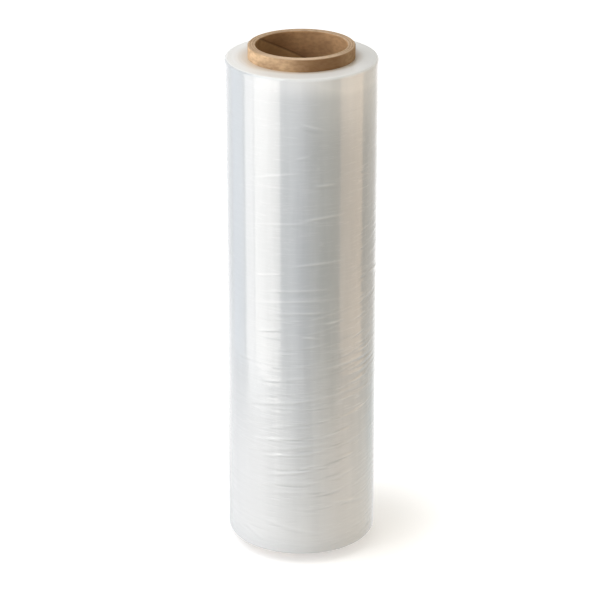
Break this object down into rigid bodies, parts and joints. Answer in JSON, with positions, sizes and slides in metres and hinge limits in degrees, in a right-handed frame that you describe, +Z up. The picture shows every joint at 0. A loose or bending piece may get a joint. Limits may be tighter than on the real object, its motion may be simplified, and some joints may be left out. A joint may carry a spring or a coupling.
{
  "type": "stretch wrap roll",
  "caption": "Tall roll of clear stretch film wound on a longer cardboard tube that sticks out at both ends, for wrapping pallets and parcels.",
  "frame": {"origin": "centre of the core's lower end face, in the plane that the roll stands on", "axes": "+Z up along the core; -Y towards the side that the picture shows"},
  "size_m": [0.1288, 0.129, 0.452],
  "materials": {
    "core_board": "matt brown kraft board, wound in a spiral, with paler sawn ends",
    "stretch_film": "glossy clear polyethylene film that looks milky white where it is wound thick"
  },
  "bodies": {
    "root": {"cardboard_core": "core_board", "film_roll": "stretch_film"}
  },
  "joints": []
}
